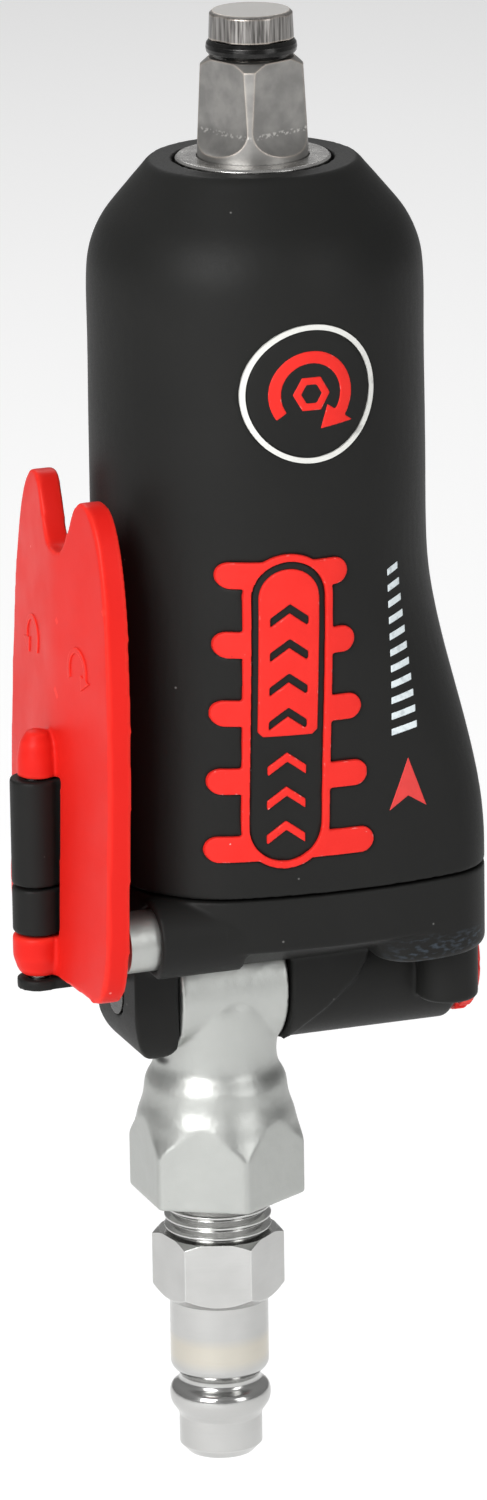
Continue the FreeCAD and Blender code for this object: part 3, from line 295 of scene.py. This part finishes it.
def phosphated_steel():
    """The drive: blasted flats, a turned tip, and edges rubbed bright and slightly brown."""
    s = Shader("phosphated_steel")
    blast = s.noise(4200, 4)
    cloud = s.noise(420, 3)
    streaks = s.noise(1, 4, s.stretched((4200, 4200, 160)))
    tip = s.between(s.height(), 13.9 * MM, 14.2 * MM)     # above the flats
    end = s.between(s.height(), 17.05 * MM, 17.3 * MM)    # the end face
    colour = s.mix((0.27, 0.265, 0.255), (0.36, 0.35, 0.335), s.between(cloud, 0.36, 0.66))
    turned = s.mix((0.10, 0.095, 0.09), (0.40, 0.385, 0.37), s.between(streaks, 0.38, 0.66))
    colour = s.mix(colour, turned, tip)
    colour = s.mix(colour, (0.40, 0.39, 0.375), end)
    rim = s.edges(0.45 * MM)
    colour = s.mix(colour, (0.60, 0.52, 0.45), s.times(rim, 0.8))
    dots = s.times(s.band(3.2 * MM, 0.35 * MM), s.between(s.noise(2400, 2), 0.5, 0.62))
    colour = s.mix(colour, (0.75, 0.73, 0.70), s.times(dots, 0.8))
    rough = s.mix((0.44, 0.44, 0.44), (0.30, 0.30, 0.30), s.calc("SUBTRACT", tip, end))
    height = s.calc("ADD", blast, s.times(streaks, tip))
    return s.finish(Base_Color=colour, Metallic=1.0, Roughness=rough,
                    Normal=s.bump(height, 0.010 * MM, s.rounded(0.22 * MM)))


def satin_aluminium():
    """Bead-blasted casting: soft sparkle, faint stains and a few dark pits."""
    s = Shader("satin_aluminium")
    beads = s.noise(7200, 3)
    cloud = s.noise(160, 5)
    pits = s.specks(330, 0.05, 0.07)
    colour = s.mix((0.38, 0.39, 0.375), (0.50, 0.51, 0.49), cloud)
    colour = s.mix(colour, (0.16, 0.16, 0.15), s.times(pits, 0.6))
    rough = s.spread(cloud, 0.36, 0.48)
    waves = s.bump(s.noise(420, 2), 0.10 * MM)
    return s.finish(Base_Color=colour, Metallic=0.92, Roughness=rough,
                    Normal=s.bump(beads, 0.014 * MM, waves))


def nickel_steel():
    """Bright plated turning: fine rings, milled flats and a faint straw tint above the bead."""
    s = Shader("nickel_steel")
    rings = s.noise(1, 3, s.stretched((120, 120, 6800)))
    arcs = s.add("ShaderNodeTexWave", {"Vector": s.place, "Scale": 420.0, "Distortion": 1.4, "Detail": 2.0},
                 wave_type="RINGS", rings_direction="SPHERICAL").outputs["Fac"]
    flats = s.band(-137.7 * MM, 7.0 * MM)
    cloud = s.noise(210, 4)
    colour = s.mix((0.42, 0.42, 0.41), (0.55, 0.55, 0.54), cloud)
    colour = s.mix(colour, (0.66, 0.58, 0.42), s.times(s.band(-148.2 * MM, 2.2 * MM), 0.35))
    colour = s.mix(colour, (0.82, 0.82, 0.81), s.times(s.edges(0.22 * MM), 0.6))
    rough = s.spread(rings, 0.14, 0.27)
    milled = s.times(s.times(arcs, flats), 0.6)
    height = s.calc("ADD", s.times(rings, 0.6), milled)
    return s.finish(Base_Color=colour, Metallic=1.0, Roughness=rough,
                    Normal=s.bump(height, 0.004 * MM, s.rounded(0.10 * MM)))


def black_rubber():
    s = Shader("black_rubber")
    grain = s.noise(3000, 3)
    colour = s.mix((0.012, 0.012, 0.012), (0.024, 0.024, 0.023), s.noise(300, 3))
    return s.finish(Base_Color=colour, Roughness=s.spread(grain, 0.46, 0.62),
                    Normal=s.bump(grain, 0.008 * MM))


def vane_fibre():
    s = Shader("vane_fibre")
    weave = s.add("ShaderNodeTexWave", {"Vector": s.place, "Scale": 900.0, "Distortion": 2.0, "Detail": 2.0})
    colour = s.mix((0.20, 0.105, 0.045), (0.34, 0.19, 0.085), weave.outputs["Fac"])
    return s.finish(Base_Color=colour, Roughness=0.55, Normal=s.bump(weave.outputs["Fac"], 0.01 * MM))


def gasket_paper():
    s = Shader("gasket_paper")
    fibre = s.noise(2200, 6)
    colour = s.mix((0.30, 0.28, 0.23), (0.52, 0.49, 0.42), fibre)
    return s.finish(Base_Color=colour, Roughness=0.85, Normal=s.bump(fibre, 0.02 * MM))


MATERIALS = {make.__name__: make() for make in (
    black_composite, red_plastic, red_rubber, silver_print, ground_steel, alloy_steel, cast_steel,
    spring_steel, black_steel, bronze, phosphated_steel, satin_aluminium, nickel_steel, black_rubber,
    vane_fibre, gasket_paper)}
WHITE_INK = printed_white()
RED_INK = printed_red()


def dress(piece, material):
    piece.data.materials.clear()
    piece.data.materials.append(material)


for node, shown in frame["nodes"].items():
    dress(shown, MATERIALS[SLOT_OF[node]])


# --- mesh helpers -------------------------------------------------------------------
def linked(name, mesh):
    """A new piece in the scene, holding a mesh or a curve."""
    piece = bpy.data.objects.new(name, mesh)
    bpy.context.scene.collection.objects.link(piece)
    return piece


def final_mesh(piece):
    """Mesh of a piece as its modifiers leave it."""
    graph = bpy.context.evaluated_depsgraph_get()
    return bpy.data.meshes.new_from_object(piece.evaluated_get(graph))


def baked(piece):
    """Applies a piece's modifiers to its mesh."""
    mesh = final_mesh(piece)
    piece.modifiers.clear()
    piece.data = mesh
    for face in mesh.polygons:
        face.use_smooth = True
    return piece


def softened(piece, voxel, passes):
    """Even fine mesh of the same shape, with its sharp edges eased."""
    remesh = piece.modifiers.new("even", "REMESH")
    remesh.mode = "VOXEL"
    remesh.voxel_size = voxel
    smooth = piece.modifiers.new("ease", "SMOOTH")
    smooth.factor = 0.5
    smooth.iterations = passes
    return baked(piece)


def moulded(node, name, voxel, passes):
    """Stands for a CAD node with the eased edges of a moulding or casting."""
    source = frame["nodes"][node]
    piece = softened(linked(name, source.data.copy()), voxel, passes)
    dress(piece, MATERIALS[SLOT_OF[node]])
    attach(piece, source["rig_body"])
    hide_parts(node)
    return piece


def tree_of(piece):
    """A piece's faces, ready for rays to be cast at them."""
    mesh = piece.data
    return BVHTree.FromPolygons([v.co for v in mesh.vertices], [p.vertices for p in mesh.polygons])


# --- raised marks -------------------------------------------------------------------
class Face:
    """A side that flat shapes are laid on: the front, seen along +Y, or the paddle, seen along +X."""

    def __init__(self, piece, front):
        self.tree = tree_of(piece)
        self.front = front

    def lay(self, u, v, lift):
        """Point above or below the surface: u runs along X on the front and along Y on the paddle."""
        far = -0.08
        start = Vector((u, far, v)) if self.front else Vector((far, u, v))
        ray = Vector((0, 1, 0)) if self.front else Vector((1, 0, 0))
        hit = self.tree.ray_cast(start, ray)[0]
        return hit - ray * lift


def raised(name, outlines, face, body, slot, proud, sunk, voxel, passes=3, ink=None):
    """Solid with the given outlines (an outline inside another is a hole), laid over a curved face."""
    curve = bpy.data.curves.new(name + "_outline", "CURVE")
    curve.dimensions = "2D"
    curve.fill_mode = "BOTH"
    curve.extrude = (proud + sunk) / 2
    for outline in outlines:
        spline = curve.splines.new("POLY")
        spline.points.add(len(outline) - 1)
        for point, (u, v) in zip(spline.points, outline):
            point.co = (u * MM, v * MM, 0, 1)
        spline.use_cyclic_u = True
    flat = linked(name + "_flat", curve)
    piece = softened(linked(name, final_mesh(flat)), voxel, passes)
    bpy.data.objects.remove(flat)
    for vertex in piece.data.vertices:
        u, v, w = vertex.co
        vertex.co = face.lay(u, v, w + (proud - sunk) / 2)
    shape = bmesh.new()
    shape.from_mesh(piece.data)
    bmesh.ops.recalc_face_normals(shape, faces=shape.faces)
    shape.to_mesh(piece.data)
    shape.free()
    dress(piece, ink or MATERIALS[slot])
    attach(piece, body)
    return piece


def arc_points(cu, cv, radius, start, end, count):
    """Points along an arc, angles in degrees anticlockwise from +u."""
    angles = [math.radians(start + (end - start) * k / count) for k in range(count + 1)]
    return [(cu + radius * math.cos(a), cv + radius * math.sin(a)) for a in angles]


def arc_arrow(cu, cv, radius, half, start, end, head):
    """Curved arrow outline with its head at the end angle."""
    count = 36
    outer = arc_points(cu, cv, radius + half, start, end, count)
    inner = arc_points(cu, cv, radius - half, end, start, count)
    way = math.copysign(1.0, end - start)
    end_angle = math.radians(end)
    tip_angle = end_angle + way * 1.5 * head / radius
    barb = head * 0.95

    def at(distance, angle):
        return cu + distance * math.cos(angle), cv + distance * math.sin(angle)

    points = [at(radius + barb, end_angle), at(radius, tip_angle), at(radius - barb, end_angle)]
    return outer + points + inner


def chevron(cu, cv, half_width, rise, thick):
    """Upward-pointing chevron."""
    low = cv - rise / 2
    return [(cu - half_width, low), (cu, low + rise), (cu + half_width, low),
            (cu + half_width, low - thick), (cu, low + rise - thick), (cu - half_width, low - thick)]


def chevron_column(cu, top, count):
    """Chevrons one below another."""
    half_width, rise, thick = 2.3, 1.7, 1.15
    pitch = 4.3
    return [chevron(cu, top - pitch * k, half_width, rise, thick) for k in range(count)]


def hexagon(cu, cv, radius):
    """Regular hexagon with a corner at +u."""
    return arc_points(cu, cv, radius, 0, 300, 5)


def leaning_bar(cu, cv, half_length, half_width, rise):
    """Bar across a column, its right end higher by the rise."""
    left, right = cu - half_length, cu + half_length
    low, high = cv - rise / 2, cv + rise / 2
    return [(left, low - half_width), (right, high - half_width),
            (right, high + half_width), (left, low + half_width)]


# --- mouldings and castings ---------------------------------------------------------
moulded("motor_housing", "housing_moulding", 0.30 * MM, 4)
moulded("end_cap", "end_cap_moulding", 0.24 * MM, 6)
paddle = moulded("throttle_paddle", "paddle_moulding", 0.26 * MM, 10)
moulded("rib_inlay", "rib_moulding", 0.14 * MM, 4)
moulded("swivel_inlet", "swivel_casting", 0.22 * MM, 10)
moulded("regulator_knob", "regulator_moulding", 0.16 * MM, 4)

FRONT = Face(frame["nodes"]["motor_housing"], front=True)
WING = Face(paddle, front=False)


def housing_marks():
    """Generic marks in place of lettering: a turning arrow round a hexagon, and columns of chevrons."""
    badge_u, badge_v = -0.4, -24.6
    arrow = arc_arrow(badge_u, badge_v, 4.4, 0.75, 215, -35, 2.1)
    raised("badge_arrow", [arrow], FRONT, "tool", "red_rubber", 0.10 * MM, 0.5 * MM, 0.12 * MM)
    nut = [hexagon(badge_u, badge_v, 2.3), hexagon(badge_u, badge_v, 1.25)]
    raised("badge_hexagon", nut, FRONT, "tool", "red_rubber", 0.10 * MM, 0.5 * MM, 0.12 * MM)
    middle, half = -3.4, 3.55
    top, bottom = -45.5, -66.2
    corner = 0.6
    panel = arc_points(middle, top - half, half, 0, 180, 20)
    panel += [(middle - half, bottom + corner), (middle - half + corner, bottom),
              (middle + half - corner, bottom), (middle + half, bottom + corner)]
    cuts = chevron_column(middle, -50.6, 4)
    raised("rib_panel", [panel] + cuts, FRONT, "tool", "red_rubber", 0.34 * MM, 0.4 * MM, 0.13 * MM)
    low_marks = chevron_column(middle, -69.2, 3)
    raised("rib_chevrons", low_marks, FRONT, "tool", "red_rubber", 0.30 * MM, 0.4 * MM, 0.13 * MM)


def printed(name, outlines, slot, ink):
    """A thin film of ink on the front."""
    raised(name, outlines, FRONT, "tool", slot, 0.05 * MM, 0.15 * MM, 0.07 * MM, passes=1, ink=ink)


def power_scale():
    """Printed row of bars that grow longer down the grip, with a red arrow head below."""
    rows, pitch = 11, 1.95
    first_u, first_v = 10.6, -47.6
    half_length, half_width, rise = 0.85, 0.42, 0.55
    shift, growth = 0.10, 0.09    # from each bar to the next
    bars = []
    for row in range(rows):
        v = first_v - pitch * row
        u = first_u + shift * row
        bars.append(leaning_bar(u, v, half_length + growth * row, half_width, rise))
    printed("scale_bars", bars, "silver_print", WHITE_INK)
    mark = [(9.6, -77.2), (12.1, -70.8), (14.6, -77.2), (12.1, -75.6)]
    printed("scale_arrow", [mark], "red_rubber", RED_INK)


def paddle_marks():
    """Turning arrows moulded on the two wings, one each way."""
    out, height = 8.2, -58.5
    radius, half, head = 2.5, 0.36, 1.45
    for name, side in (("forward", -1), ("reverse", 1)):
        arrow = arc_arrow(side * out, height, radius, half, 90 + 120 * side, 90 - 100 * side, head)
        raised(name + "_arrow", [arrow], WING, "paddle", "red_plastic", 0.16 * MM, 0.3 * MM, 0.11 * MM,
               passes=2)


housing_marks()
power_scale()
paddle_marks()


# --- stage, light and camera --------------------------------------------------------
FLOOR_Z = -0.235               # metres, below the lower end of the tool
FLOOR_SIZE = 30
FLOOR_GLOW = 0.22              # keeps the floor pale
SKY_FROM, SKY_TO = 0.05, 0.75  # upward part of the view direction over which the sky brightens
SKY_LOW, SKY_HIGH = 0.28, 0.36
LIT_AT = (0, 0, -0.06)         # the softboxes face the middle of the tool


def studio():
    """Pale floor, and a sky that is a little brighter above."""
    bpy.ops.mesh.primitive_plane_add(size=FLOOR_SIZE, location=(0, 0, FLOOR_Z))
    floor = bpy.context.object
    floor.name = "floor"
    s = Shader("floor_paper")
    colour = s.mix((0.86, 0.86, 0.86), (0.89, 0.89, 0.89), s.noise(3, 2))
    s.plug(s.surface.inputs["Emission Color"], (1.0, 1.0, 1.0))
    paper = s.finish(Base_Color=colour, Roughness=0.9, Specular_IOR_Level=0.1, Emission_Strength=FLOOR_GLOW)
    dress(floor, paper)
    world = bpy.data.worlds.new("studio")
    bpy.context.scene.world = world
    world.use_nodes = True
    tree = world.node_tree
    way = tree.nodes.new("ShaderNodeTexCoord")
    split = tree.nodes.new("ShaderNodeSeparateXYZ")
    rise = tree.nodes.new("ShaderNodeMapRange")
    rise.inputs["From Min"].default_value = SKY_FROM
    rise.inputs["From Max"].default_value = SKY_TO
    rise.inputs["To Min"].default_value = SKY_LOW
    rise.inputs["To Max"].default_value = SKY_HIGH
    tree.links.new(way.outputs["Generated"], split.inputs[0])
    tree.links.new(split.outputs["Z"], rise.inputs["Value"])
    tree.links.new(rise.outputs["Result"], tree.nodes["Background"].inputs["Color"])
    tree.nodes["Background"].inputs["Strength"].default_value = 1.0


def softbox(name, place, target, size, power):
    """Rectangular light facing a point; sizes in metres, power in watts."""
    light = bpy.data.lights.new(name, "AREA")
    light.shape = "RECTANGLE"
    light.size, light.size_y = size
    light.energy = power
    lamp = bpy.data.objects.new(name, light)
    bpy.context.scene.collection.objects.link(lamp)
    lamp.location = place
    lamp.rotation_euler = (Vector(target) - Vector(place)).to_track_quat("-Z", "Y").to_euler()


def photo_camera():
    """Camera at the photograph's viewing angle and distance."""
    heading, pitch, roll = math.radians(19.873), math.radians(16.308), math.radians(-0.857)
    bearing, distance, height = math.radians(20.0), 0.9698, 0.2104    # where it stands, seen from the tool
    across = math.cos(pitch)
    forward = Vector((math.sin(heading) * across, math.cos(heading) * across, -math.sin(pitch)))
    level = Vector((math.cos(heading), -math.sin(heading), 0))
    upward = level.cross(forward)
    right = level * math.cos(roll) + upward * math.sin(roll)
    up = upward * math.cos(roll) - level * math.sin(roll)
    lens = bpy.data.cameras.new("camera")
    lens.sensor_width = 36.0
    lens.lens = 201.13
    lens.clip_start, lens.clip_end = 0.05, 50
    camera = bpy.data.objects.new("camera", lens)
    bpy.context.scene.collection.objects.link(camera)
    place = Vector((-math.sin(bearing) * distance, -math.cos(bearing) * distance, height))
    camera.matrix_world = Matrix.Translation(place) @ Matrix((right, up, -forward)).transposed().to_4x4()
    bpy.context.scene.camera = camera


studio()
softbox("key", (-0.80, -0.65, 0.50), LIT_AT, (0.6, 0.7), 15)
softbox("fill", (0.55, -0.95, 0.35), LIT_AT, (0.4, 0.8), 3.5)
softbox("back", (0.2, 0.9, 0.8), LIT_AT, (0.9, 0.6), 4.5)
photo_camera()
bpy.context.scene.view_settings.view_transform = "Standard"
